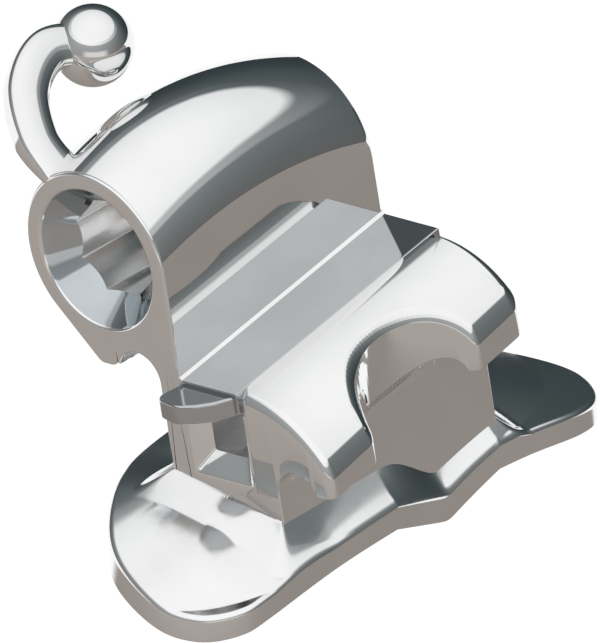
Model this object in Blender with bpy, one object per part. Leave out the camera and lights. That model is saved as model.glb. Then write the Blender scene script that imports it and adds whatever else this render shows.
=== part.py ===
"""Buccal tube: a bondable upper-molar attachment with a round headgear tube and a covered archwire slot.

Run with: blender --background --python part.py

The part stands on its bonding pad: +Z points away from the tooth, X runs from the mesial
to the distal end, and +Y points to the gingival side, where the headgear tube and hook are.
The origin is under the middle of the pad, at the height of its lowest point, the distal tip.

The tube, web, slot and tie wing share the body frame, which is turned about X by the torque.
Its origin is on the tube axis, at mid-length. The slot, its cover and the tie wing share the
slot frame, which also rises towards the distal end by the offset angle.
"""

from math import cos, pi, radians, sin, sqrt, tan

import bmesh
import bpy
import numpy as np
from mathutils import Matrix, Vector

MM = 0.001

# Headgear tube, in mm and degrees
TUBE_LENGTH = 3.56
TUBE_RADIUS = 1.085
TUBE_ARCH = 0.25
TUBE_SWELL = 0.07
BORE_ACROSS_FLATS = 1.143
BORE_SIDES = 8
FUNNEL_RADIUS = 0.86
FUNNEL_HALF_ANGLE = 40.0
FUNNEL_LIP = 0.05
DISTAL_CHAMFER = 0.06

# Body frame on the pad
TORQUE = 11.25
OFFSET_ANGLE = 9.4
AXIS_Y = 1.78
AXIS_Z = 3.40

# Archwire slot and its cover, in the slot frame
SLOT_WIDTH = 0.559
SLOT_DEPTH = 0.711
COVER_WIDTH = 0.913
COVER_THICKNESS = 0.27
COVER_DROP = 1.008
COVER_EAR = 0.48
COVER_EAR_THICKNESS = 0.25
COVER_EAR_DROP = 0.05
SEAT_GAP = 0.01
SLOT_FLARE = 0.17
SLOT_FLARE_LENGTH = 0.22
LEDGE = 0.19

# Tie wing and its undercut
WING_RADIUS = 1.49
WING_TAPER = 0.11
WING_SWEEP = 57.0
LIP_DEPTH = 1.08
LIP_LAND = 0.17
LIP_FILLET = 0.06
UNDERCUT_RADIUS = 0.32
NOTCH_RADIUS = 1.00
NOTCH_DEPTH = 0.68
EDGE_FILLET = 0.09

# Neck between the slot and the pad, and the lug under the tube
NECK_WIDTH = 1.70
NECK_BACK = 0.742
NECK_BOTTOM = 3.1
LUG_DEPTH = 1.355
LUG_HEIGHT = 0.25
LUG_WIDTH = 0.36
LUG_FILLET = 0.13
PLATFORM_Z = 1.10
RAMP_RUN = 0.27
RAMP_SINK = 0.03

# Bonding pad
PAD_MESIAL_REACH = 3.31
PAD_DISTAL_REACH = 3.80
PAD_WIDTH = 3.13
PAD_THICKNESS = 0.33
PAD_TOP = 0.75
PAD_CURVE_RADIUS = 17.1
PAD_RIM_FILLET = 0.08
GROOVE_X = 0.70
GROOVE_DEPTH = 0.31
GROOVE_HALF_WIDTH = 0.86
GROOVE_END_Y = 0.40
GROOVE_FADE = 1.60

# Hook
HOOK_BALL_RADIUS = 0.495
HOOK_WIDTH = 0.54
HOOK_THICKNESS = 0.40
HOOK_TILT = 40.0
HOOK_REACH = 1.60
HOOK_BASE_X = 0.17
HOOK_BASE_Y = 0.80
HOOK_BASE_Z = 0.63

ROUND_STEPS = 56
OVERRUN = 0.5


def new_collection(name, parent=None):
    collection = bpy.data.collections.new(name)
    (parent or bpy.context.scene.collection).children.link(collection)
    return collection


def clear_scene():
    for obj in list(bpy.data.objects):
        bpy.data.objects.remove(obj, do_unlink=True)


def cutters():
    """The collection that holds every cutter."""
    return bpy.data.collections.get("cutters") or new_collection("cutters")


def steel(name, colour, roughness):
    """Polished stainless steel as a Principled material."""
    material = bpy.data.materials.new(name)
    material.use_nodes = True
    shader = material.node_tree.nodes["Principled BSDF"]
    shader.inputs["Base Color"].default_value = (*colour, 1.0)
    shader.inputs["Metallic"].default_value = 1.0
    shader.inputs["Roughness"].default_value = roughness
    return material


def body_frame():
    """Places the tube axis over the pad and leans the body by the torque."""
    place = Matrix.Translation(Vector((0.0, AXIS_Y, AXIS_Z)) * MM)
    return place @ Matrix.Rotation(radians(-TORQUE), 4, "X")


def slot_frame():
    """Lies in the cover's top face at mid-length, on the tube side, with X along the slot."""
    place = Matrix.Translation(Vector((0.0, -TUBE_RADIUS, -COVER_DROP)) * MM)
    return body_frame() @ place @ Matrix.Rotation(radians(-OFFSET_ANGLE), 4, "Y")


def mesh_object(name, mesh, collection, frame=None):
    """Links a mesh whose points are in millimetres of the given frame, as metres of the world."""
    mesh.transform((frame or Matrix.Identity(4)) @ Matrix.Scale(MM, 4))
    obj = bpy.data.objects.new(name, mesh)
    collection.objects.link(obj)
    return obj


def from_bmesh(name, bm, collection, frame=None):
    bmesh.ops.recalc_face_normals(bm, faces=bm.faces)
    if bm.calc_volume(signed=True) < 0:
        bmesh.ops.reverse_faces(bm, faces=bm.faces)
    mesh = bpy.data.meshes.new(name)
    bm.to_mesh(mesh)
    bm.free()
    return mesh_object(name, mesh, collection, frame)


def box(name, low, high, collection, frame=None):
    bm = bmesh.new()
    bmesh.ops.create_cube(bm, size=1.0)
    size = [b - a for a, b in zip(low, high)]
    bmesh.ops.scale(bm, vec=size, verts=bm.verts)
    middle = [(a + b) / 2 for a, b in zip(low, high)]
    bmesh.ops.translate(bm, vec=middle, verts=bm.verts)
    return from_bmesh(name, bm, collection, frame)


def cylinder(name, radius, start, end, collection, frame=None, sides=ROUND_STEPS, turn=0.0):
    """A straight cylinder or prism between two points."""
    axis = Vector(end) - Vector(start)
    bm = bmesh.new()
    bmesh.ops.create_cone(
        bm, cap_ends=True, segments=sides, radius1=radius, radius2=radius, depth=axis.length
    )
    upright = axis.to_track_quat("Z", "Y").to_matrix().to_4x4() @ Matrix.Rotation(turn, 4, "Z")
    middle = (Vector(start) + Vector(end)) / 2
    bm.transform(Matrix.Translation(middle) @ upright)
    return from_bmesh(name, bm, collection, frame)


def loft(name, rings, collection, frame=None):
    """A closed skin over rings of points, all with the same count, with a fan at each end."""
    bm = bmesh.new()
    loops = [[bm.verts.new(point) for point in ring] for ring in rings]
    count = len(loops[0])
    for lower, upper in zip(loops, loops[1:]):
        for i in range(count):
            j = (i + 1) % count
            bm.faces.new((lower[i], lower[j], upper[j], upper[i]))
    for loop in (loops[0], loops[-1]):
        middle = bm.verts.new(sum((v.co for v in loop), Vector()) / count)
        for i in range(count):
            bm.faces.new((loop[i], loop[(i + 1) % count], middle))
    bmesh.ops.triangulate(bm, faces=bm.faces)
    return from_bmesh(name, bm, collection, frame)


def arc(centre, radius, first, last, steps):
    """Points on a circle from one angle to another, in degrees."""
    angles = np.radians(np.linspace(first, last, steps + 1))
    return [(centre[0] + radius * cos(a), centre[1] + radius * sin(a)) for a in angles]


def combine(target, others, operation):
    """Applies one Boolean after another to the target, and keeps the result as its mesh."""
    for other in others:
        modifier = target.modifiers.new(operation.title(), "BOOLEAN")
        modifier.operation = operation
        modifier.object = other
        apply_modifiers(target)
        if operation != "DIFFERENCE":
            bpy.data.objects.remove(other, do_unlink=True)
    return target


def apply_modifiers(obj):
    bpy.context.view_layer.update()
    graph = bpy.context.evaluated_depsgraph_get()
    mesh = bpy.data.meshes.new_from_object(obj.evaluated_get(graph))
    obj.modifiers.clear()
    old = obj.data
    obj.data = mesh
    bpy.data.meshes.remove(old)


def as_cutter(obj):
    obj.hide_render = True
    obj.display_type = "WIRE"
    return obj


def barrel_outline(bulge):
    """The tube over its web, in (y, z): round back, flat wall, neck, groove and lug.

    The circle rises and swells with the bulge, which is 1 at mid-length, and stays tangent to
    the wall.
    """
    radius = TUBE_RADIUS + TUBE_SWELL * bulge
    round_back = arc((radius - TUBE_RADIUS, TUBE_ARCH * bulge), radius, -42, 180, ROUND_STEPS // 2)
    inner = -NECK_BACK
    outer = inner + 2 * UNDERCUT_RADIUS
    groove_centre = (inner + UNDERCUT_RADIUS, -LUG_DEPTH + LUG_HEIGHT - UNDERCUT_RADIUS)
    groove = arc(groove_centre, UNDERCUT_RADIUS, 180, 20, 12)
    lug_z = -LUG_DEPTH + LUG_FILLET
    lug = arc((outer + LUG_FILLET, lug_z), LUG_FILLET, 215, 270, 4)
    heel = arc((outer + LUG_WIDTH - LUG_FILLET, lug_z), LUG_FILLET, 270, 320, 4)
    foot = [(-TUBE_RADIUS, -NECK_BOTTOM), (inner, -NECK_BOTTOM)]
    return [*round_back, *foot, *groove, *lug, *heel]


def barrel(parts):
    """The tube and web as one skin, a little longer than the finished tube."""
    rings = []
    end = 0.5 + 0.3 * OVERRUN / TUBE_LENGTH
    for x in np.linspace(-end, end, 18):
        outline = barrel_outline(1 - (2 * x) ** 2)
        rings.append([(x * TUBE_LENGTH, y, z) for y, z in outline])
    return loft("tube_body", rings, parts, body_frame())


def wing_outline(radius):
    """The tie wing in (y, z) of the slot frame: round back, upright tip, lip and undercut."""
    root = -COVER_WIDTH
    tip = root - radius * sin(radians(WING_SWEEP))
    back = arc((root, -radius), radius, 90, 90 + WING_SWEEP, 18)
    neck_front = TUBE_RADIUS - NECK_BACK - NECK_WIDTH
    centre = (neck_front - UNDERCUT_RADIUS, -LIP_DEPTH - LIP_FILLET)
    land = [(tip, -LIP_DEPTH + LIP_FILLET), (tip + LIP_FILLET, -LIP_DEPTH)]
    land += [(tip + LIP_LAND, -LIP_DEPTH)]
    undercut = arc(centre, UNDERCUT_RADIUS, 165, 0, 10)
    inner = COVER_WIDTH - LEDGE
    low = -LIP_DEPTH - UNDERCUT_RADIUS
    return [*back, *land, *undercut, (neck_front, low), (-inner, low), (-inner, 0.0)]


def wing(parts):
    """The wing with its notch, fuller at the mesial end. Both ends are cut square later."""
    half = TUBE_LENGTH / 2 + OVERRUN
    taper = WING_TAPER * half / (TUBE_LENGTH / 2)
    rings = []
    for x, radius in ((-half, WING_RADIUS + taper), (half, WING_RADIUS - taper)):
        rings.append([(x, y, z) for y, z in wing_outline(radius)])
    body = loft("wing", rings, parts, slot_frame())
    tip_y = -TUBE_RADIUS - COVER_WIDTH - WING_RADIUS * sin(radians(WING_SWEEP))
    centre_y = tip_y + NOTCH_DEPTH - NOTCH_RADIUS
    notch = cylinder(
        "notch", NOTCH_RADIUS, (0, centre_y, -4), (0, centre_y, 1), cutters(), body_frame()
    )
    combine(body, [as_cutter(notch)], "DIFFERENCE")
    return body


def neck(parts):
    """The block that holds the slot, from the cover's seat down into the pad."""
    half = TUBE_LENGTH / 2 + OVERRUN * 0.7
    low = (-half, -NECK_BACK - NECK_WIDTH, -NECK_BOTTOM - OVERRUN * 0.4)
    high = (half, -TUBE_RADIUS + OVERRUN * 0.2, 0.0)
    block = box("neck", low, high, parts, body_frame())
    above = box(
        "above_seat", (-5, -5, -COVER_THICKNESS - SEAT_GAP), (5, 5, 5), cutters(), slot_frame()
    )
    return combine(block, [as_cutter(above)], "DIFFERENCE")


def slot_cutter():
    """The archwire slot, which flares on both sides and at the floor towards its two mouths."""
    roof = -COVER_THICKNESS - SEAT_GAP + OVERRUN * 0.1
    floor = -COVER_THICKNESS - SLOT_DEPTH
    near = -LEDGE
    far = near - SLOT_WIDTH
    end = TUBE_LENGTH / 2 / cos(radians(OFFSET_ANGLE))
    rings = []
    for sign, reach in ((-1, 1), (-1, 0), (1, 0), (1, 1)):
        flare = SLOT_FLARE if reach else 0.0
        x = sign * (end + (OVERRUN if reach else -SLOT_FLARE_LENGTH))
        flare *= 1 + OVERRUN / SLOT_FLARE_LENGTH
        low = floor - flare * 0.8
        wide = far - flare
        close = near + flare * 0.8
        rings.append([(x, close, roof), (x, close, low), (x, wide, low), (x, wide, roof)])
    return as_cutter(loft("slot", rings, cutters(), slot_frame()))


def seat_cutter():
    """The room for the cover, with a fine gap on its three seated sides."""
    low = (-5, -COVER_WIDTH, -COVER_THICKNESS - SEAT_GAP)
    return as_cutter(box("seat", low, (5, 0, 1), cutters(), slot_frame()))


def bore_cutters():
    """The eight-sided bore, the round funnel at the mesial end and the distal chamfer."""
    half = TUBE_LENGTH / 2
    corner = BORE_ACROSS_FLATS / 2 / cos(pi / BORE_SIDES)
    bore = cylinder(
        "bore",
        corner,
        (-half - OVERRUN, 0, 0),
        (half + OVERRUN, 0, 0),
        cutters(),
        body_frame(),
        BORE_SIDES,
        pi / BORE_SIDES,
    )
    slope = tan(radians(FUNNEL_HALF_ANGLE))
    inner = corner * 0.8
    lip = FUNNEL_RADIUS + FUNNEL_LIP
    deep = -half + FUNNEL_LIP + (FUNNEL_RADIUS - inner) / slope
    funnel_profile = [(-half - OVERRUN, lip), (-half, lip)]
    funnel_profile += [(-half + FUNNEL_LIP * 0.3, FUNNEL_RADIUS + FUNNEL_LIP * 0.3)]
    funnel_profile += [(-half + FUNNEL_LIP, FUNNEL_RADIUS), (deep, inner)]
    chamfer_profile = [
        (half - DISTAL_CHAMFER, corner),
        (half, corner + DISTAL_CHAMFER),
        (half + OVERRUN, corner + DISTAL_CHAMFER + OVERRUN),
    ]
    turned = [
        as_cutter(turn_about_x("funnel", funnel_profile)),
        as_cutter(turn_about_x("distal_chamfer", chamfer_profile)),
    ]
    return [as_cutter(bore), *turned]


def turn_about_x(name, profile):
    """A solid of revolution about the tube axis from (x, radius) points."""
    turns = np.arange(ROUND_STEPS) * 2 * pi / ROUND_STEPS
    rings = [[(x, r * cos(t), r * sin(t)) for t in turns] for x, r in profile]
    return loft(name, rings, cutters(), body_frame())


def groove_dip(x, y):
    """How far the pad is folded down along the tooth's buccal groove, at its occlusal side."""
    rounding = 0.10
    q = np.sqrt((np.abs(x - GROOVE_X) / GROOVE_HALF_WIDTH) ** 2 + rounding**2) - rounding
    fold = np.clip(1 - q, 0, 1)
    fade = np.clip((GROOVE_END_Y - y) / GROOVE_FADE, 0, 1)
    return GROOVE_DEPTH * fold * fade


def pad_height(x, y):
    """Height of the pad's outer face: a cylinder along Y, with the groove folded in."""
    dome = x**2 / (2 * PAD_CURVE_RADIUS)
    return PAD_TOP - dome - groove_dip(x, y)


def pad_outline(count):
    """Plan of the pad: full, rounded corners on the occlusal side, tapered to the gingival side."""
    mesial = [(0.0, 1.0), (-0.27, 1.0), (-0.52, 0.90), (-0.77, 0.56), (-0.92, 0.17)]
    mesial += [(-1.0, -0.38), (-0.97, -0.75), (-0.86, -0.96), (-0.72, -1.0), (-0.36, -0.98)]
    distal = [(0.0, -0.97), (0.29, -0.92), (0.55, -0.90), (0.80, -0.89), (0.935, -0.74)]
    distal += [(1.0, -0.40), (0.96, -0.03), (0.84, 0.40), (0.68, 0.72), (0.50, 0.94), (0.29, 1.0)]
    half_width = PAD_WIDTH / 2
    points = [(x * PAD_MESIAL_REACH, y * half_width) for x, y in mesial]
    points += [(x * PAD_DISTAL_REACH, y * half_width) for x, y in distal]
    return closed_curve(np.array(points), count)


def closed_curve(points, count):
    """A closed Catmull-Rom curve through the points, at equal steps of its parameter."""
    t = np.arange(count) * len(points) / count
    i = t.astype(int)
    a, b, c, d = (points[(i + k) % len(points)] for k in (-1, 0, 1, 2))
    return between(a, b, c, d, (t - i)[:, None])


def open_curve(points, count):
    """A Catmull-Rom curve through the points, from the first to the last."""
    ends = np.vstack([2 * points[0] - points[1], points, 2 * points[-1] - points[-2]])
    t = np.linspace(0, len(points) - 1 - 1e-9, count)
    i = t.astype(int)
    a, b, c, d = (ends[i + k] for k in range(4))
    return between(a, b, c, d, (t - i)[:, None])


def between(a, b, c, d, f):
    """The share f of the way from b to c, on the curve that also runs through a and d."""
    square = a - 2.5 * b + 2 * c - d / 2
    cube = (d - a + 3 * (b - c)) / 2
    return b + f * (c - a) / 2 + f**2 * square + f**3 * cube


def pad(parts):
    """The pad as rings that follow its outline, from deep below up over the rounded rim."""
    outline = pad_outline(112)
    along = np.roll(outline, -1, 0) - np.roll(outline, 1, 0)
    along /= np.linalg.norm(along, axis=1)[:, None]
    inward = np.stack([-along[:, 1], along[:, 0]], 1)
    rings = [[(x, y, -2 * OVERRUN) for x, y in outline]]
    for turn in np.radians((0, 30, 60, 90)):
        inset = PAD_RIM_FILLET * (1 - cos(turn))
        drop = PAD_RIM_FILLET * (1 - sin(turn))
        ring = outline + inward * inset
        rings.append([(x, y, pad_height(x, y) - drop) for x, y in ring])
    rim = outline + inward * PAD_RIM_FILLET
    for share in (0.93, 0.86, 0.74, 0.5, 0.25):
        rings.append([(x, y, pad_height(x, y)) for x, y in rim * share])
    return loft("pad", rings, parts)


def ramp(parts):
    """The neck's foot: a level platform with sloping sides down to the pad's outer face."""
    tilt = radians(TORQUE)
    half_x = TUBE_LENGTH / 2
    foot = []
    for y in (-NECK_BACK - NECK_WIDTH, -NECK_BACK):
        z = (PLATFORM_Z - AXIS_Z + sin(tilt) * y) / cos(tilt)
        foot.append(AXIS_Y + y * cos(tilt) + z * sin(tilt))
    steps = 24
    xs = np.linspace(-1, 1, steps + 1)
    unit = [(x, -1) for x in xs[:-1]] + [(1, y) for y in xs[:-1:4]]
    unit += [(x, 1) for x in xs[:0:-1]] + [(-1, y) for y in xs[:0:-4]]
    middle = sum(foot) / 2
    rings = []
    for grow, sink in ((RAMP_RUN, PAD_THICKNESS * 1.5), (RAMP_RUN, RAMP_SINK), (0.0, None)):
        half_y = (foot[1] - foot[0]) / 2 + grow
        ring = [(u * (half_x + grow), middle + v * half_y) for u, v in unit]
        level = [PLATFORM_Z if sink is None else pad_height(x, y) - sink for x, y in ring]
        rings.append([(x, y, z) for (x, y), z in zip(ring, level)])
    return loft("ramp", rings, parts)


def under_pad():
    """Everything below the pad's concave face, as a cutter."""
    xs = np.linspace(-PAD_MESIAL_REACH - OVERRUN, PAD_DISTAL_REACH + OVERRUN, 61)
    ys = np.linspace(-PAD_WIDTH / 2 - OVERRUN, PAD_WIDTH / 2 + OVERRUN, 13)
    bm = bmesh.new()
    grid = [[bm.verts.new((x, y, pad_height(x, y) - PAD_THICKNESS)) for y in ys] for x in xs]
    for a, b in zip(grid, grid[1:]):
        for i in range(len(ys) - 1):
            bm.faces.new((a[i], b[i], b[i + 1], a[i + 1]))
    rim = [e for e in bm.edges if e.is_boundary]
    down = bmesh.ops.extrude_edge_only(bm, edges=rim)["geom"]
    for v in (v for v in down if isinstance(v, bmesh.types.BMVert)):
        v.co.z = -3.0
    bmesh.ops.holes_fill(bm, edges=[e for e in bm.edges if e.is_boundary])
    return as_cutter(from_bmesh("under_pad", bm, cutters()))


def hook(parts):
    """A flat bar that leaves the tube, turns distally in one tilted plane and ends in a ball."""
    tilt = radians(HOOK_TILT)
    base = Vector((-TUBE_LENGTH / 2, AXIS_Y, AXIS_Z))
    base += Vector((HOOK_BASE_X, HOOK_BASE_Y, HOOK_BASE_Z))
    along = Vector((1, 0, 0))
    out = Vector((0, cos(tilt), sin(tilt)))
    up = along.cross(out)
    turns = [(0.0125, -0.375), (0, 0), (0.0625, 0.344), (0.2625, 0.675), (0.6125, 0.85), (1, 0.725)]
    route = np.array(turns) * HOOK_REACH
    path = open_curve(route, 22)
    steps = np.gradient(path, axis=0)
    steps /= np.linalg.norm(steps, axis=1)[:, None]
    angles = (np.arange(20) + 0.5) * 2 * pi / 20
    rings = []
    for k, (point, step) in enumerate(zip(path, steps)):
        flare = 1 + 0.5 * max(0.0, 1 - k / 7) ** 2
        side = Vector((-step[1], step[0]))
        ring = []
        for t in angles:
            across = HOOK_WIDTH / 2 * flare * np.sign(cos(t)) * abs(cos(t)) ** 0.7
            lift = HOOK_THICKNESS / 2 * np.sign(sin(t)) * abs(sin(t)) ** 0.7
            a = point[0] + side.x * across
            b = point[1] + side.y * across
            ring.append(base + along * a + out * b + up * lift)
        rings.append(ring)
    arm = loft("hook", rings, parts)
    bm = bmesh.new()
    bmesh.ops.create_uvsphere(bm, u_segments=28, v_segments=18, radius=HOOK_BALL_RADIUS)
    centre = base + along * route[-1][0] + out * route[-1][1]
    bmesh.ops.translate(bm, vec=centre, verts=bm.verts)
    ball = from_bmesh("hook_ball", bm, parts)
    return combine(arm, [ball], "UNION")


def between_ends(name, parts):
    """All the space between the tube's two end faces."""
    half = TUBE_LENGTH / 2
    return box(name, (-half, -5, -5), (half, 5, 5), parts, body_frame())


def tube_body(parts):
    """The one-piece casting: the forms joined, cut square at both ends, then bored and slotted."""
    body = barrel(parts)
    combine(body, [neck(parts), wing(parts)], "UNION")
    combine(body, [between_ends("tube_ends", parts)], "INTERSECT")
    combine(body, [ramp(parts), pad(parts), hook(parts)], "UNION")
    cuts = [under_pad(), *bore_cutters(), slot_cutter(), seat_cutter()]
    combine(body, cuts, "DIFFERENCE")
    return body


def slot_cover(parts):
    """The strip that closes the slot. Its mesial end carries a rounded ear, level with the tube."""
    end = TUBE_LENGTH / 2
    far = -COVER_WIDTH + SEAT_GAP
    strip = box("slot_cover", (-5, far, -COVER_THICKNESS), (5, -SEAT_GAP, 0), parts, slot_frame())
    combine(strip, [between_ends("cover_ends", parts)], "INTERSECT")
    level = -COVER_DROP - end * tan(radians(OFFSET_ANGLE)) - COVER_EAR_DROP
    reach = [(0.3, 0.02), (-0.85, -0.04), (-1.0, 0.42), (-0.76, 0.64), (-0.42, 0.81), (0.3, 1.0)]
    plan = open_curve(np.array(reach), 26) * [COVER_EAR, -COVER_WIDTH]
    rings = []
    for z in (level - COVER_EAR_THICKNESS, level):
        rings.append([(x - end, y - TUBE_RADIUS, z) for x, y in plan])
    ear = loft("ear", rings, parts, body_frame())
    return combine(strip, [ear], "UNION")


def main():
    clear_scene()
    parts = new_collection("buccal_tube")
    body = tube_body(parts)
    body.name = "tube_body"
    cover = slot_cover(parts)
    finishes = (
        (body, steel("polished_cast_steel", (0.62, 0.61, 0.60), 0.12)),
        (cover, steel("rolled_steel_strip", (0.60, 0.61, 0.62), 0.16)),
    )
    for obj, material in finishes:
        obj.data.materials.clear()
        obj.data.materials.append(material)
        obj.data.shade_smooth()
        obj.data.set_sharp_from_angle(angle=radians(32))


main()
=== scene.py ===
from math import cos, pi, radians, sin, tan

import bpy
import numpy as np
from mathutils import Matrix, Vector


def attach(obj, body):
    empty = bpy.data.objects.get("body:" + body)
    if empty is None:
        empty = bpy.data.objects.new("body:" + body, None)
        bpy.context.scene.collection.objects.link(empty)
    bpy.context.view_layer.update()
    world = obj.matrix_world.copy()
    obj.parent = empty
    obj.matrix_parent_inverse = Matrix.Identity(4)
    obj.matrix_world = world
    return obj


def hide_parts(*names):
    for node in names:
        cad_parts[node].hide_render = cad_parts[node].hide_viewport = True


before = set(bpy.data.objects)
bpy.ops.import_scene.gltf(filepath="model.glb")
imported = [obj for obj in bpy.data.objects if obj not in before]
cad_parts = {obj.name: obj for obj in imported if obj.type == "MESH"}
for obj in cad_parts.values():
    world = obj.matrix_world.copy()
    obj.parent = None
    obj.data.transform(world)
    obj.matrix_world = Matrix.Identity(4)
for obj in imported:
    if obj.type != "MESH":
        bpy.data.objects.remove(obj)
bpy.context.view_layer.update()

MM = 0.001

# The part's own sizes, in millimetres and degrees
HALF = 1.78
TUBE_RADIUS = 1.085
TUBE_ARCH = 0.25
TUBE_SWELL = 0.07
FLAT_TO_CENTRE = 1.143 / 2
FUNNEL_RADIUS = 0.86
FUNNEL_SLOPE = tan(radians(40.0))
FUNNEL_LIP = 0.05
TORQUE = radians(11.25)
OFFSET = radians(9.4)
AXIS_Y = 1.78
AXIS_Z = 3.40
COVER_WIDTH = 0.913
COVER_THICKNESS = 0.27
COVER_DROP = 1.008
SLOT_NEAR = -0.19
SLOT_FAR = -0.749
SLOT_FLOOR = -0.981
WING_RADIUS = 1.49
WING_TAPER = 0.11
WING_TIP = -2.163
LIP_LEVEL = -1.08
NECK_FRONT = -1.357
GROOVE_RADIUS = 0.32
NOTCH_RADIUS = 1.0
NOTCH_DEPTH = 0.68
NECK_INNER = -0.742
NECK_BOTTOM = -2.515
SLOT_MOUTH = 0.22
PAD_MESIAL_REACH = 3.308
PAD_DISTAL_REACH = 3.797
PAD_HALF_WIDTH = 1.565
PAD_TOP = 0.75
PAD_THICKNESS = 0.33
PAD_CURVE_RADIUS = 17.1
FOOT_LEVEL = 1.10
FOOT_RUN = 0.40
FOLD_X = 0.70
FOLD_HALF_WIDTH = 0.86
FOLD_DEPTH = 0.31
LOBE_RISE = 0.75
DOME_RISE = 0.26
HOOK_LEAN = radians(40.0)
HOOK_BASE = (0.17, 0.80, 0.63)
HOOK_HALF_WIDTH = 0.27
HOOK_HALF_THICKNESS = 0.2
HOOK_BALL_RADIUS = 0.495
MESH_PITCH = 0.16
PIXEL = 0.0115


def lean(p):
    """Body frame to part frame: a turn about X by the torque, then up to the tube axis."""
    x, y, z = p[..., 0], p[..., 1], p[..., 2]
    c, s = cos(TORQUE), sin(TORQUE)
    return np.stack([x, AXIS_Y + y * c + z * s, AXIS_Z - y * s + z * c], -1)


def skin(name, p, wrap=False, tags=None):
    """A closed mesh over a grid of rings p[ring, point]. Each ring closes on itself.

    With wrap the last ring joins the first, and otherwise each end ring is filled by one face.
    The tags give the material of each ring, or of each point of each ring.
    """
    rings, count = p.shape[:2]
    i = np.arange(rings if wrap else rings - 1)[:, None]
    j = np.arange(count)[None, :]
    k = (i + 1) % rings
    m = (j + 1) % count
    quads = np.stack([i * count + j, i * count + m, k * count + m, k * count + j], -1)
    quads = quads.reshape(-1, 4)
    flat = p.reshape(-1, 3)
    a, b, c, d = (flat[quads[:, n]] - p[0].mean(0) for n in range(4))
    volume = np.einsum("ij,ij->i", a, np.cross(b, c) + np.cross(c, d)).sum()
    if not wrap:
        last = p[-1] - p[0].mean(0)
        volume += (np.cross(last, np.roll(last, -1, 0)) @ last.mean(0)).sum()
    caps = [] if wrap else [np.arange(count)[::-1], np.arange(count) + (rings - 1) * count]
    if volume < 0:
        quads = quads[:, ::-1]
        caps = [cap[::-1] for cap in caps]
    corners = np.concatenate([quads.ravel(), *caps]).astype(np.int32)
    totals = np.concatenate([np.full(len(quads), 4), [len(cap) for cap in caps]]).astype(np.int32)
    starts = np.concatenate([[0], np.cumsum(totals)[:-1]]).astype(np.int32)
    mesh = bpy.data.meshes.new(name)
    mesh.vertices.add(len(flat))
    mesh.vertices.foreach_set("co", (flat * MM).ravel())
    mesh.loops.add(len(corners))
    mesh.loops.foreach_set("vertex_index", corners)
    mesh.polygons.add(len(totals))
    mesh.polygons.foreach_set("loop_start", starts)
    if tags is not None:
        marks = np.reshape(tags, (rings, -1))
        ends = [] if wrap else [marks[0, 0], marks[-1, 0]]
        marks = np.broadcast_to(marks[: i.shape[0]], (i.shape[0], count)).ravel()
        mesh.polygons.foreach_set("material_index", np.append(marks, ends).astype(np.int32))
    mesh.update(calc_edges=True)
    mesh.validate()
    mesh.shade_smooth()
    mesh.set_sharp_from_angle(angle=radians(28))
    if wrap:
        x = p[:, :, 0]
        level = np.ptp(np.concatenate([x, np.roll(x, -1, 0)], axis=1), axis=1) < 1e-9
        mesh.polygons.foreach_set("use_smooth", np.repeat(~level, count))
    obj = bpy.data.objects.new(name, mesh)
    bpy.context.scene.collection.objects.link(obj)
    return obj


def arc(centre, radius, first, last, count):
    """Points of a circle between two angles in degrees, as an array."""
    t = np.radians(np.linspace(first, last, count))
    return np.stack([centre[0] + radius * np.cos(t), centre[1] + radius * np.sin(t)], -1)


def resample(points, count, closed=True):
    """The same line as points, at equal steps of its length."""
    loop = np.vstack([points, points[:1]]) if closed else points
    steps = np.r_[0, np.cumsum(np.linalg.norm(np.diff(loop, axis=0), axis=1))]
    s = np.linspace(0, steps[-1], count, endpoint=not closed)
    return np.stack([np.interp(s, steps, loop[:, n]) for n in range(2)], -1)


def rounded(points, radii, steps=10):
    """A closed polygon with each corner replaced by an arc of that radius."""
    out = []
    total = len(points)
    for n in range(total):
        a, b, c = (np.array(points[(n + k) % total], float) for k in (-1, 0, 1))
        before, after = (a - b) / np.linalg.norm(a - b), (c - b) / np.linalg.norm(c - b)
        half = np.arccos(np.clip(before @ after, -1, 1)) / 2
        radius = radii[n]
        if radius < 1e-6 or half > pi / 2 - 0.01:
            out.append(b[None])
            continue
        reach = radius / tan(half)
        middle = (before + after) / np.linalg.norm(before + after)
        centre = b + middle * radius / sin(half)
        start, end = b + before * reach - centre, b + after * reach - centre
        first = np.arctan2(start[1], start[0])
        swing = (np.arctan2(end[1], end[0]) - first + pi) % (2 * pi) - pi
        t = first + np.linspace(0, 1, steps) * swing
        out.append(centre + radius * np.stack([np.cos(t), np.sin(t)], -1))
    return np.vstack(out)


def inward(points):
    """Unit normals of a closed line of points, towards its inside."""
    along = np.roll(points, -1, 0) - np.roll(points, 1, 0)
    along /= np.linalg.norm(along, axis=1)[:, None] + 1e-12
    x, y = points.T
    area = np.sum(x * np.roll(y, -1) - y * np.roll(x, -1))
    return np.stack([-along[:, 1], along[:, 0]], -1) * np.sign(area)


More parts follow.
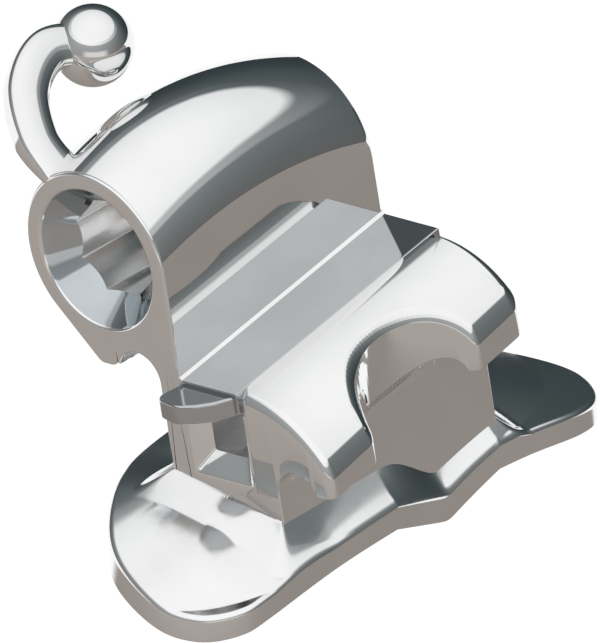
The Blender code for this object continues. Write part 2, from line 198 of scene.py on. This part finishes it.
def slab(name, outline, spine, top, bottom, rounds, place, steps, tags=None, power=1.0, wide=1.0):
    """A plate over a plan outline, from the height function bottom to top, with rounded rims.

    P(t, s) = outline(s) + t (spine(s) - outline(s)), with z = top(P). Round each rim the ring
    moves in by w r (1 - cos(a)^n) and the height falls by r (1 - sin(a)^n), for a from 0 to 90
    degrees. The power n is 1 for a round edge and more for one that is nearly a chamfer.
    """
    normal = inward(outline)
    heights = ((bottom, -1.0, rounds[1], steps[1]), (top, 1.0, rounds[0], steps[0]))
    halves = []
    for height, sign, radius, count in heights:
        part = []
        reach = normal * radius * (wide if sign > 0 else 1.0)
        for a in np.radians(np.linspace(0, 90, 9 if radius > 0.01 else 2)):
            plan = outline + reach * (1 - max(0.0, cos(a)) ** power)
            part.append(np.c_[plan, height(*plan.T) - sign * radius * (1 - sin(a) ** power)])
        edge = outline + reach
        for t in np.linspace(0, 0.985, count + 1)[1:]:
            plan = edge + (spine - edge) * t**1.15
            part.append(np.c_[plan, height(*plan.T)])
        halves.append(part)
    rings = halves[0][::-1] + halves[1]
    marks = None
    if tags:
        rim = 10 if rounds[1] > 0.01 else 3
        marks = [tags[0]] * (len(halves[0]) - rim) + [tags[1]] * (len(halves[1]) + rim)
    return skin(name, place(np.array(rings)), tags=marks)


def spine_for(outline, low, high, y):
    """For each outline point, the point of a straight spine along X that it shrinks towards."""
    x = outline[:, 0]
    share = (x - x.min()) / (x.max() - x.min())
    return np.c_[low + (high - low) * share, np.full(len(x), y)]


def sheared(p):
    """Slot frame to part frame: y from the wall, z from the cover, which rises along X."""
    x, y, z = p[..., 0], p[..., 1], p[..., 2]
    return lean(np.stack([x, y - TUBE_RADIUS, z - COVER_DROP + x * tan(OFFSET)], -1))


def barrel_outline(bulge, count):
    """Section of the tube over its web: a circle that rises and swells by the bulge, a flat
    wall, the column into the pad, the groove and the lug. It starts at the top of the wall."""
    radius = TUBE_RADIUS + TUBE_SWELL * bulge
    circle = arc((radius - TUBE_RADIUS, TUBE_ARCH * bulge), radius, -42, 180, 160)
    outer = NECK_INNER + 2 * GROOVE_RADIUS
    groove = arc((NECK_INNER + GROOVE_RADIUS, -1.425), GROOVE_RADIUS, 180, 20, 40)
    lug = arc((outer + 0.13, -1.225), 0.13, 215, 270, 10)
    heel = arc((outer + 0.23, -1.225), 0.13, 270, 320, 10)
    foot = [(-TUBE_RADIUS, -3.0), (NECK_INNER, -3.0)]
    return resample(np.vstack([circle, foot, groove, lug, heel]), count)


def octagon(angle):
    """Distance from the axis to the bore's wall in that direction."""
    return FLAT_TO_CENTRE / np.cos((angle + pi / 8) % (pi / 4) - pi / 8)


def barrel():
    """The tube and its web, from the outside in over the mesial face, through the funnel and
    the eight-sided bore, and back over the distal face: a grid that closes both ways."""
    count = 560
    edge = 0.035
    rings = []

    def ring(x, plan):
        rings.append(np.c_[np.full(len(plan), x), plan])

    for x in np.linspace(HALF - edge, -HALF + edge, 90):
        ring(x, barrel_outline(1 - (x / HALF) ** 2, count))
    end = barrel_outline(0.0, count)
    normal = inward(end)
    y, z = (end + normal * edge).T
    column = (z < -1.105) & (y < -0.42)
    inner = np.c_[y, z] * 0.985
    down = np.clip((-1.425 - z) / 1.575, 0, 1)
    left = -1.034 + 0.084 * np.clip((-1.105 - z) / 1.86, 0, 1)
    right = np.where(z > -1.425, y, NECK_INNER - edge - 0.123 * down)
    foot = -0.95 + 0.05 * np.clip((y + 1.05) / 0.273, 0, 1)
    across = np.where(z < -2.96, foot, np.where(y < -1.0, left, right))
    inner = np.where(column[:, None], np.c_[across, np.full(count, -1.09)], inner)
    lug = np.flatnonzero((z < -0.98) & (y >= -0.42))
    ends = np.unwrap(np.arctan2(*inner[[lug[0] - 1, lug[-1] + 1]].T[::-1]))
    turn = np.linspace(ends[0], ends[1], len(lug) + 2)[1:-1]
    inner[lug] = 0.97 * np.stack([np.cos(turn), np.sin(turn)], -1)
    angle = np.arctan2(inner[:, 1], inner[:, 0])
    spoke = np.stack([np.cos(angle), np.sin(angle)], -1)
    for a in np.radians(np.linspace(0, 90, 7)):
        ring(-HALF + edge * (1 - sin(a)), end + normal * edge * (1 - cos(a)))
    for share in (0.02, 0.5, 1.0):
        ring(-HALF, (end + normal * edge) * (1 - share) + inner * share)
    lip = FUNNEL_RADIUS + FUNNEL_LIP
    for share in (0.6, 0.99):
        ring(-HALF, inner * (1 - share) + spoke * lip * share)
    for a in np.radians(np.linspace(0, 50, 8)):
        ring(-HALF + FUNNEL_LIP * (1 - cos(a)) * 1.6, spoke * (lip - FUNNEL_LIP * sin(a) * 1.1))
    funnel = len(rings) - 1
    wall = octagon(angle)[:, None]
    first_x, first_r = rings[-1][0, 0], np.linalg.norm(rings[-1][0, 1:])
    for share in np.linspace(0, 1, 14)[1:]:
        r = first_r + (wall - first_r) * share
        x = first_x + (first_r - r[:, 0]) / FUNNEL_SLOPE
        rings.append(np.c_[x, spoke * r])
    bore = len(rings) - 1
    mouth = rings[-1][:, 0]
    for share in np.linspace(0, 1, 12)[1:]:
        x = mouth + (HALF - 0.06 - mouth) * share
        rings.append(np.c_[x, spoke * wall])
    distal = len(rings) - 1
    ring(HALF, spoke * (wall + 0.06))
    ring(HALF, inner * 0.4 + spoke * (wall + 0.06) * 0.6)
    for share in (1.0, 0.5, 0.02):
        ring(HALF, (end + normal * edge) * (1 - share) + inner * share)
    for a in np.radians(np.linspace(90, 0, 7)[:-1]):
        ring(HALF - edge * (1 - sin(a)), end + normal * edge * (1 - cos(a)))
    inside = np.zeros(len(rings), int)
    inside[funnel:bore] = 1
    inside[bore:distal] = 2
    return skin("polished_barrel", lean(np.array(rings)), wrap=True, tags=inside)


def slot_block():
    """The neck with the open slot: one section carried along X. Its walls and floor are straight,
    and open out evenly over the last 0.22 mm towards each mouth. Below z = -1.5 the section is
    stretched, z = -1.5 - (z + 1.5) (level + 1.5), so that it ends level inside the pad."""
    rings = []
    marks = []
    end = HALF - 0.003
    mouth = HALF - SLOT_MOUTH
    half = np.r_[np.linspace(0, mouth, 26), np.linspace(mouth, end - 0.03, 8)[1:]]
    half = np.r_[half, end - 0.03 * np.linspace(1, 0, 7)[1:]]
    for x in np.r_[-half[:0:-1], half]:
        flare = np.clip((abs(x) - mouth) / SLOT_MOUTH, 0, 1)
        near = SLOT_NEAR + 0.15 * flare
        far, floor = SLOT_FAR - 0.21 * flare, SLOT_FLOOR - 0.19 * flare
        corners = [(0.1, -0.28), (near, -0.28), (near, floor), (far, floor)]
        corners += [(far, -0.28), (NECK_FRONT, -0.28), (NECK_FRONT, -2.5), (0.1, -2.5)]
        radii = [0.0, 0.01, 0.03, 0.03, 0.01, 0.0, 0.02, 0.0]
        plan = resample(rounded(corners, radii), 420)
        marks.append((plan[:, 0] < near + 0.003) & (plan[:, 0] > far - 0.003))
        level = NECK_BOTTOM - 0.1655 * x + 0.198 * (plan[:, 0] - NECK_FRONT)
        foot = -1.5 - (plan[:, 1] + 1.5) * (level + 1.5)
        plan[:, 1] = np.where(plan[:, 1] < -1.5, foot, plan[:, 1])
        depth = max(0.0, 0.02 - (end - abs(x)))
        plan = plan + inward(plan) * (0.02 - np.sqrt(max(0.0, 0.02**2 - depth**2)))
        rings.append(np.c_[np.full(len(plan), x), plan])
    return skin("slotted_neck", sheared(np.array(rings)), tags=np.array(marks))


def wing_top(x, y):
    """The wing's round back, level at its root, fuller at the mesial end, and just under the
    cover where it runs in below it."""
    radius = WING_RADIUS - WING_TAPER * x / HALF
    out = np.clip(-COVER_WIDTH - y, 0, 1.36)
    under = 0.05 * np.clip((y + COVER_WIDTH - 0.005) / 0.05, 0, 1)
    return np.sqrt(radius**2 - out**2) - radius - under


def wing_under(x, y):
    """The lip's flat land, the undercut's arch and the part that is buried in the neck."""
    centre = NECK_FRONT - GROOVE_RADIUS
    arch = np.sqrt(np.clip(GROOVE_RADIUS**2 - (y - centre) ** 2, 0, None)) + LIP_LEVEL - 0.08
    under = np.where(y < centre, np.maximum(LIP_LEVEL, arch), arch)
    return np.where(y > NECK_FRONT + 0.01, -1.25, under)


def tie_wing():
    """The tie wing: a slab with the round back on top and the undercut below, whose plan has
    the semicircular notch between two square tips."""
    centre = WING_TIP + NOTCH_DEPTH - NOTCH_RADIUS
    reach = np.degrees(np.arcsin((WING_TIP - centre) / NOTCH_RADIUS))
    notch = arc((0, centre), NOTCH_RADIUS, 180 - reach - 8, reach + 8, 40)
    low = np.sqrt(NOTCH_RADIUS**2 - (WING_TIP - centre) ** 2)
    root = [(1.60, -0.80), (-1.60, -0.80), (-HALF, -0.985)]
    corners = [*root, (-HALF, WING_TIP), (-low, WING_TIP), *notch]
    corners += [(low, WING_TIP), (HALF, WING_TIP), (HALF, -0.985)]
    radii = [0.12, 0.12, 0.09, 0.10, 0.10] + [0.0] * len(notch) + [0.10, 0.15, 0.09]
    outline = resample(rounded(corners, radii), 900)
    out = np.clip((-1.0 - outline[:, 1]) / (-1.0 - WING_TIP), 0, 1)
    outline[:, 1] += 0.09 * out**2 * outline[:, 0] / HALF
    spine = spine_for(outline, -1.35, 1.35, -1.2)
    wide = 0.72 + 0.5 * np.clip(-inward(outline)[:, :1], 0, 1)
    rounds, steps = (0.12, 0.02), (60, 30)
    return slab(
        "notched_tie_wing", outline, spine, wing_top, wing_under, rounds, sheared, steps,
        power=1.5, wide=wide,
    )


def cover():
    """The strip over the slot."""
    gap = 0.01
    corners = [(-HALF, -gap), (-HALF, gap - COVER_WIDTH), (HALF, gap - COVER_WIDTH), (HALF, -gap)]
    outline = resample(rounded(corners, [0.01] * 4, 4), 400)
    spine = spine_for(outline, -1.5, 1.5, -0.45)

    def top(x, y):
        return np.zeros_like(x)

    def bottom(x, y):
        return np.full_like(x, -COVER_THICKNESS)

    return slab("slot_strip", outline, spine, top, bottom, (0.02, 0.01), sheared, (8, 4), (1, 0))


def ear():
    """The rounded ear on the cover's mesial end, level with the tube."""
    level = -COVER_DROP - HALF * tan(OFFSET) - 0.05
    reach = [(0.3, 0.02), (-0.85, -0.04), (-1.0, 0.42), (-0.76, 0.64), (-0.42, 0.81), (0.3, 1.0)]
    corners = np.array(reach) * [0.48, -COVER_WIDTH] + [-HALF, -TUBE_RADIUS]
    outline = resample(rounded(corners, [0.02, 0.16, 0.22, 0.3, 0.4, 0.02], 16), 360)
    spine = spine_for(outline, -2.1, -1.7, -1.45)

    def top(x, y):
        return np.full_like(x, level)

    def bottom(x, y):
        return np.full_like(x, level - 0.25)

    return slab("cover_ear", outline, spine, top, bottom, (0.035, 0.035), lean, (10, 6))


def crease_fillet():
    """The brazed joint between the wall and the cover: a narrow slope carried along the slot."""
    rings = []
    plan = np.array([(-0.04, 0.0), (0.0, 0.028), (0.05, 0.028), (0.05, -0.05), (-0.04, -0.05)])
    for x in np.linspace(-HALF + 0.002, HALF - 0.002, 12):
        rings.append(np.c_[np.full(len(plan), x), plan])
    return skin("crease_fillet", sheared(np.array(rings)))


def closed_curve(points, count):
    """A closed Catmull-Rom curve through the points."""
    t = np.arange(count) * len(points) / count
    n = t.astype(int)
    f = (t - n)[:, None]
    a, b, c, d = (points[(n + k) % len(points)] for k in (-1, 0, 1, 2))
    square, cube = a - 2.5 * b + 2 * c - d / 2, (d - a + 3 * (b - c)) / 2
    return b + f * (c - a) / 2 + f**2 * square + f**3 * cube


def pad_height(x, y):
    """The pad's outer face: a cylinder along Y with the buccal groove folded in as a V.

    z = top - x^2 / 2R - depth (1 - |x - fold| / half width), and the depth fades along Y.
    """
    q = np.sqrt((np.abs(x - FOLD_X) / FOLD_HALF_WIDTH) ** 2 + 0.07**2) - 0.07
    fold = np.clip(1 - q, 0, 1) * np.clip((0.4 - y) / 1.6, 0, 1)
    return PAD_TOP - x**2 / (2 * PAD_CURVE_RADIUS) - FOLD_DEPTH * fold


def crown(x, y):
    """How far the outer face swells above the plain cylinder: none at the rim, most inside.

    The mesial lobe rises straight to the neck, by 0.75 (1 - r) with r^2.6 = (x / 3.4)^2.6 +
    (y / 1.72)^2.6, and the rest is a flat dome, 0.26 (1 - (x / 3.5)^2 - (y / 1.56)^2).
    """
    lobe = np.clip((-x - 1.2) / 0.9, 0, 1)
    lobe = lobe**2 * (3 - 2 * lobe)
    out = (np.abs(x / 3.4) ** 2.6 + np.abs((y + 0.1) / 1.72) ** 2.6) ** (1 / 2.6)
    dome = DOME_RISE * np.clip(1 - (x / 3.5) ** 2 - (y / 1.56) ** 2, 0, 1)
    return lobe * LOBE_RISE * np.clip(1 - out, 0, 1) + (1 - lobe) * dome


def pad_top(x, y):
    """The outer face with the neck's foot, which ends level against the neck and is lower beside
    the fold: z = low + (level - low) f^1.7, with f from 1 at the neck to 0 at the foot's end."""
    dx = np.clip(np.abs(x) - HALF, 0, None)
    dy = np.clip(np.abs(y + 0.305) - 0.845, 0, None)
    beside = np.clip((x + 0.1) / 0.8, 0, 1) * np.clip((-y - 0.2) / 0.7, 0, 1)
    beside = beside**2 * (3 - 2 * beside)
    far = np.clip(1 - (dx**5 + dy**5) ** 0.2 / FOOT_RUN, 0, 1)
    low = pad_height(x, y) + crown(x, y)
    return low + (FOOT_LEVEL - low) * far**1.7 * (1 - 0.55 * beside)


def bonding_pad():
    """The pad: rounded in plan, domed to the tooth and folded along its buccal groove."""
    mesial = [(0.0, 1.0), (-0.27, 1.0), (-0.52, 0.90), (-0.77, 0.56), (-0.92, 0.17)]
    mesial += [(-1.0, -0.38), (-0.97, -0.75), (-0.86, -0.96), (-0.72, -1.0), (-0.36, -0.98)]
    distal = [(0.0, -0.97), (0.29, -0.92), (0.55, -0.90), (0.80, -0.89), (0.935, -0.74)]
    distal += [(1.0, -0.40), (0.96, -0.03), (0.84, 0.40), (0.68, 0.72), (0.50, 0.94), (0.29, 1.0)]
    points = [(x * PAD_MESIAL_REACH, y * PAD_HALF_WIDTH) for x, y in mesial]
    points += [(x * PAD_DISTAL_REACH, y * PAD_HALF_WIDTH) for x, y in distal]
    outline = resample(closed_curve(np.array(points), 1600), 900)
    spine = spine_for(outline, -1.5, 1.5, -0.3)

    def bottom(x, y):
        return pad_height(x, y) - PAD_THICKNESS

    def place(p):
        return p

    return slab(
        "bonding_pad", outline, spine, pad_top, bottom, (0.07, 0.03), place, (72, 12), (1, 0)
    )


def open_curve(points, count):
    """A Catmull-Rom curve through the points, from the first to the last."""
    ends = np.vstack([2 * points[0] - points[1], points, 2 * points[-1] - points[-2]])
    t = np.linspace(0, len(points) - 1 - 1e-9, count)
    n = t.astype(int)
    f = (t - n)[:, None]
    a, b, c, d = (ends[n + k] for k in range(4))
    square, cube = a - 2.5 * b + 2 * c - d / 2, (d - a + 3 * (b - c)) / 2
    return b + f * (c - a) / 2 + f**2 * square + f**3 * cube


HOOK_TURNS = [(0.12, -0.10), (0.10, 0.1), (0.13, 0.55), (0.42, 1.08), (0.98, 1.36), (1.6, 1.16)]
HOOK_ROUTE = np.array(HOOK_TURNS)


def hook_place(p):
    """Hook plane (along, out, up) to part frame. The plane holds X and leans back by 40 degrees."""
    base = np.array([-HALF, AXIS_Y, AXIS_Z]) + HOOK_BASE
    along = np.array([1.0, 0.0, 0.0])
    out = np.array([0.0, cos(HOOK_LEAN), sin(HOOK_LEAN)])
    up = np.cross(along, out)
    return base + p[..., :1] * along + p[..., 1:2] * out + p[..., 2:] * up


def hook_arm():
    """The flat bar: a rounded section carried along the hook's curve.

    P(s, t) = path(s) + w a(t) side(s) + h (1 - thin(s) (1 - b(t))) up, with a and b powers of
    the cosine and the sine. It is wider at its foot, and thinner there at the back.
    """
    path = open_curve(HOOK_ROUTE, 120)
    step = np.gradient(path, axis=0)
    step /= np.linalg.norm(step, axis=1)[:, None]
    side = np.c_[-step[:, 1], step[:, 0]]
    t = np.arange(96) * 2 * pi / 96
    across = np.sign(np.cos(t)) * np.abs(np.cos(t)) ** 0.95
    lift = np.sign(np.sin(t)) * np.abs(np.sin(t)) ** 0.6
    flare = 0.5 * np.clip(1 - np.arange(120) / 38, 0, 1)[:, None] ** 2 * (across < 0)
    plan = path[:, None] + side[:, None] * (HOOK_HALF_WIDTH * (1 + flare) * across)[..., None]
    plan[..., 0] = np.maximum(plan[..., 0], 0.012 * np.abs(lift) - HOOK_BASE[0])
    thin = 0.5 + 0.5 * np.clip(np.arange(120) / 45, 0, 1)[:, None] ** 2
    height = HOOK_HALF_THICKNESS * (1 - thin * (1 - lift))
    return skin("hook_arm", hook_place(np.concatenate([plan, height[..., None]], -1)))


def hook_ball():
    """A sphere of 0.495 mm on the hook's end."""
    v = np.radians(np.linspace(-89.5, 89.5, 90))[:, None]
    u = (np.arange(160) * 2 * pi / 160)[None]
    p = np.stack([np.cos(v) * np.cos(u), np.cos(v) * np.sin(u), np.sin(v) + 0 * u], -1)
    centre = np.array([HOOK_ROUTE[-1, 0], HOOK_ROUTE[-1, 1], 0.0])
    return skin("hook_ball", hook_place(HOOK_BALL_RADIUS * p + centre))


def linear(code, alpha=1.0):
    """An sRGB hex colour as linear values."""
    values = [int(code[n : n + 2], 16) / 255 for n in (1, 3, 5)]
    lin = [v / 12.92 if v <= 0.04045 else ((v + 0.055) / 1.055) ** 2.4 for v in values]
    return (*lin, alpha)


def node(tree, kind, links=(), **values):
    """Adds one node, sets its constants and its inputs by name, and joins (output, input) pairs."""
    made = tree.nodes.new(kind)
    for key, value in values.items():
        name = key[3:]
        if key.startswith("in_"):
            socket = int(name) if name.isdigit() else name.replace("_", " ")
            made.inputs[socket].default_value = value
        else:
            setattr(made, key, value)
    for source, target in links:
        tree.links.new(source, made.inputs[target])
    return made


def ramp(tree, source, stops, interpolation="EASE"):
    """A colour ramp over the source."""
    made = node(tree, "ShaderNodeValToRGB", [(source, 0)])
    band = made.color_ramp
    band.interpolation = interpolation
    while len(band.elements) < len(stops):
        band.elements.new(0.5)
    for element, (place, colour) in zip(band.elements, stops):
        element.position = place
        element.color = colour
    return made.outputs[0]


def polished_steel(name, pale, deep, roughness, grain):
    """Mirror-polished stainless steel: a fine drift in tone and in the polish."""
    material = bpy.data.materials.new(name)
    material.use_nodes = True
    tree = material.node_tree
    shader = tree.nodes["Principled BSDF"]
    place = node(tree, "ShaderNodeTexCoord").outputs["Object"]
    drift = node(tree, "ShaderNodeTexNoise", [(place, "Vector")], in_Scale=700.0, in_Detail=3.0)
    tone = ramp(tree, drift.outputs[0], [(0.35, linear(deep)), (0.65, linear(pale))])
    fine = node(tree, "ShaderNodeTexNoise", [(place, "Vector")], in_Scale=grain, in_Detail=4.0)
    polish = node(
        tree,
        "ShaderNodeMapRange",
        [(fine.outputs[0], 0)],
        in_1=0.3,
        in_2=0.7,
        in_3=roughness * 0.8,
        in_4=roughness * 1.2,
    )
    bump = node(
        tree, "ShaderNodeBump", [(fine.outputs[0], "Height")], in_Strength=0.02, in_Distance=1e-6
    )
    tree.links.new(tone, shader.inputs["Base Color"])
    tree.links.new(polish.outputs[0], shader.inputs["Roughness"])
    tree.links.new(bump.outputs[0], shader.inputs["Normal"])
    shader.inputs["Metallic"].default_value = 1.0
    return material


def bonding_mesh(name):
    """The pad's underside: fine woven steel mesh that the adhesive grips."""
    material = bpy.data.materials.new(name)
    material.use_nodes = True
    tree = material.node_tree
    shader = tree.nodes["Principled BSDF"]
    place = node(tree, "ShaderNodeTexCoord").outputs["Object"]
    axes = node(tree, "ShaderNodeSeparateXYZ", [(place, 0)])
    turns = 2 * pi / (MESH_PITCH * MM)
    waves = []
    for n in (0, 1):
        along = [(axes.outputs[n], 0)]
        scaled = node(tree, "ShaderNodeMath", along, operation="MULTIPLY", in_1=turns)
        wave = node(tree, "ShaderNodeMath", [(scaled.outputs[0], 0)], operation="SINE")
        waves.append(wave.outputs[0])
    both = [(waves[0], 0), (waves[1], 1)]
    weave = node(tree, "ShaderNodeMath", both, operation="MAXIMUM").outputs[0]
    tone = ramp(tree, weave, [(0.0, linear("#4d4a47")), (1.0, linear("#bdb8b2"))])
    bump = node(tree, "ShaderNodeBump", [(weave, "Height")], in_Strength=0.6, in_Distance=2e-5)
    tree.links.new(tone, shader.inputs["Base Color"])
    tree.links.new(bump.outputs[0], shader.inputs["Normal"])
    shader.inputs["Metallic"].default_value = 1.0
    shader.inputs["Roughness"].default_value = 0.35
    return material


def build():
    steel = polished_steel("polished_stainless_casting", "#f1f1f1", "#ececec", 0.03, 9000.0)
    # Partly real and partly painted light: a rougher polish than the casting, and a lighter tone
    # that lifts the shade inside the slot, along the bore and under the cover.
    slot = polished_steel("inner_wall_steel_with_painted_light", "#f8f8f8", "#f2f2f2", 0.10, 15000.0)
    satin = polished_steel("brushed_pad_steel", "#f1f1f1", "#eaeaea", 0.12, 9000.0)
    # Painted shade: the funnel's steel is a darker, blue-grey copy of the casting's tone.
    funnel = polished_steel("funnel_steel_with_painted_shade", "#c4cacd", "#bac0c4", 0.05, 12000.0)
    strip = polished_steel("polished_steel_strip", "#c3c5c7", "#bcbec0", 0.04, 12000.0)
    mesh = bonding_mesh("woven_bonding_mesh")
    body = [barrel(), slot_block(), tie_wing(), hook_arm(), hook_ball()]
    pad = bonding_pad()
    strips = [cover(), ear(), crease_fillet()]
    for obj in [*body, pad]:
        obj.data.materials.append(satin if obj is pad else steel)
        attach(obj, "root")
        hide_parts("tube_body")
    for obj in strips:
        obj.data.materials.append(steel if obj is strips[2] else strip)
        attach(obj, "root")
        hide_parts("slot_cover")
    pad.data.materials.append(mesh)
    body[0].data.materials.append(funnel)
    body[0].data.materials.append(slot)
    body[1].data.materials.append(slot)
    strips[0].data.materials.append(slot)


def mixed(tree, share, first, second):
    """The colour between first and second at that share."""
    made = node(tree, "ShaderNodeMix", data_type="RGBA")
    for source, target in ((share, 0), (first, 6), (second, 7)):
        tree.links.new(source, made.inputs[target])
    return made.outputs[2]


def toward_light_side(tree, axes, low, high):
    """0 on the studio's dark side and 1 on its light side, across the given span."""
    spread = []
    for n, factor in ((0, -cos(radians(20))), (1, -sin(radians(20)))):
        along = [(axes.outputs[n], 0)]
        made = node(tree, "ShaderNodeMath", along, operation="MULTIPLY", in_1=factor)
        spread.append(made.outputs[0])
    total = node(tree, "ShaderNodeMath", [(spread[0], 0), (spread[1], 1)], operation="ADD")
    span = node(tree, "ShaderNodeMapRange", [(total.outputs[0], 0)], in_1=low, in_2=high)
    return span.outputs[0]


CARD = (-0.642, -0.765, 0.05)
CARD_BAND = [(0.40, 0.0), (0.46, 1.0), (0.59, 1.0), (0.63, 0.0)]


def sky():
    """A plain studio: a white ceiling over dark walls, lighter to one side, where a pale card
    stands."""
    world = bpy.data.worlds.new("studio")
    bpy.context.scene.world = world
    world.use_nodes = True
    tree = world.node_tree
    place = node(tree, "ShaderNodeTexCoord").outputs["Generated"]
    axes = node(tree, "ShaderNodeSeparateXYZ", [(place, 0)])
    rise = node(tree, "ShaderNodeMapRange", [(axes.outputs[2], 0)], in_1=-1.0, in_2=1.0)
    height = rise.outputs[0]
    light = [
        (0.0, "#6d6a67"),
        (0.37, "#aaa29c"),
        (0.50, "#9b9794"),
        (0.63, "#9da0a1"),
        (0.745, "#a9acad"),
        (0.76, "#ffffff"),
        (1.0, "#fdfdfd"),
    ]
    dark = [
        (0.0, "#5c5854"),
        (0.37, "#77706c"),
        (0.39, "#232a2c"),
        (0.50, "#30383b"),
        (0.63, "#394244"),
        (0.795, "#545c5e"),
        (0.815, "#e2e4e4"),
        (1.0, "#fbfbfb"),
    ]
    sides = []
    for stops in (dark, light):
        sides.append(ramp(tree, height, [(z, linear(code)) for z, code in stops], "LINEAR"))
    side = toward_light_side(tree, axes, -0.85, 0.85)
    colour = mixed(tree, side, sides[0], sides[1])
    aim = node(tree, "ShaderNodeVectorMath", [(place, 0)], operation="DOT_PRODUCT", in_1=CARD)
    near = node(tree, "ShaderNodeMapRange", [(aim.outputs[1], 0)], in_1=0.80, in_2=0.93)
    band = ramp(tree, height, [(z, (v, v, v, 1)) for z, v in CARD_BAND], "LINEAR")
    share = node(tree, "ShaderNodeMath", [(near.outputs[0], 0), (band, 1)], operation="MULTIPLY")
    card = node(tree, "ShaderNodeRGB")
    card.outputs[0].default_value = linear("#dad7d4")
    colour = mixed(tree, share.outputs[0], colour, card.outputs[0])
    tree.links.new(colour, tree.nodes["Background"].inputs["Color"])
    tree.nodes["Background"].inputs["Strength"].default_value = 1.1


def floor():
    """A warm grey table below the part, painted darker towards the studio's dark side as painted
    shade, with a sheet of white paper behind it.

    For camera, glossy and transmission rays the paper is lifted to full white, and it keeps
    the part's shadow.
    """
    bpy.ops.mesh.primitive_plane_add(size=1.2, location=(0, 0, -0.012))
    table = bpy.context.object
    table.name = "floor"
    material = bpy.data.materials.new("matt_table_and_paper")
    material.use_nodes = True
    tree = material.node_tree
    shader = tree.nodes["Principled BSDF"]
    place = node(tree, "ShaderNodeTexCoord").outputs["Object"]
    axes = node(tree, "ShaderNodeSeparateXYZ", [(place, 0)])
    both = [(axes.outputs[0], 0), (axes.outputs[1], 1)]
    total = node(tree, "ShaderNodeMath", both, operation="ADD")
    sheet = node(tree, "ShaderNodeMapRange", [(total.outputs[0], 0)], in_1=0.019, in_2=0.022)
    # Painted shade: the table's grey darkens towards the studio's dark side and lightens towards
    # its light side.
    grey = ramp(
        tree,
        toward_light_side(tree, axes, -0.02, 0.03),
        [(0.0, linear("#a79e98")), (1.0, linear("#c6bdb7"))],
    )
    white = node(tree, "ShaderNodeRGB")
    white.outputs[0].default_value = linear("#ffffff")
    colour = mixed(tree, sheet.outputs[0], grey, white.outputs[0])
    tree.links.new(colour, shader.inputs["Base Color"])
    rays = node(tree, "ShaderNodeLightPath")
    seen = rays.outputs["Is Camera Ray"]
    for kind in ("Is Glossy Ray", "Is Transmission Ray"):
        both = [(seen, 0), (rays.outputs[kind], 1)]
        seen = node(tree, "ShaderNodeMath", both, operation="ADD").outputs[0]
    lift = node(tree, "ShaderNodeMath", [(seen, 0), (sheet.outputs[0], 1)], operation="MULTIPLY")
    share = node(tree, "ShaderNodeMath", [(lift.outputs[0], 0)], operation="MULTIPLY", in_1=0.3)
    tree.links.new(share.outputs[0], shader.inputs["Emission Strength"])
    shader.inputs["Emission Color"].default_value = linear("#ffffff")
    shader.inputs["Roughness"].default_value = 1.0
    table.data.materials.append(material)


def camera():
    """A long view from the mesial, occlusal side, as in the photo."""
    turn, rise = radians(-47.08), radians(32.45)
    right = Vector((cos(turn), sin(turn), 0.0))
    back = Vector((sin(turn) * cos(rise), -cos(turn) * cos(rise), sin(rise)))
    up = back.cross(right)
    data = bpy.data.cameras.new("camera")
    data.type = "ORTHO"
    data.ortho_scale = 643 * PIXEL * MM
    data.clip_start = 0.0005
    data.clip_end = 5.0
    obj = bpy.data.objects.new("camera", data)
    bpy.context.scene.collection.objects.link(obj)
    middle = Vector((-0.456, -0.201, 2.803)) * MM
    turned = Matrix((right, up, back)).transposed().to_4x4()
    obj.matrix_world = Matrix.Translation(middle + back * 0.03) @ turned
    scene = bpy.context.scene
    scene.camera = obj
    scene.render.resolution_x = 1200
    scene.render.resolution_y = 1286
    scene.render.engine = "CYCLES"
    scene.cycles.samples = 160
    scene.cycles.use_denoising = True
    scene.cycles.max_bounces = 24
    scene.cycles.glossy_bounces = 24
    scene.view_settings.view_transform = "Standard"


build()
sky()
floor()
camera()
bpy.context.view_layer.update()
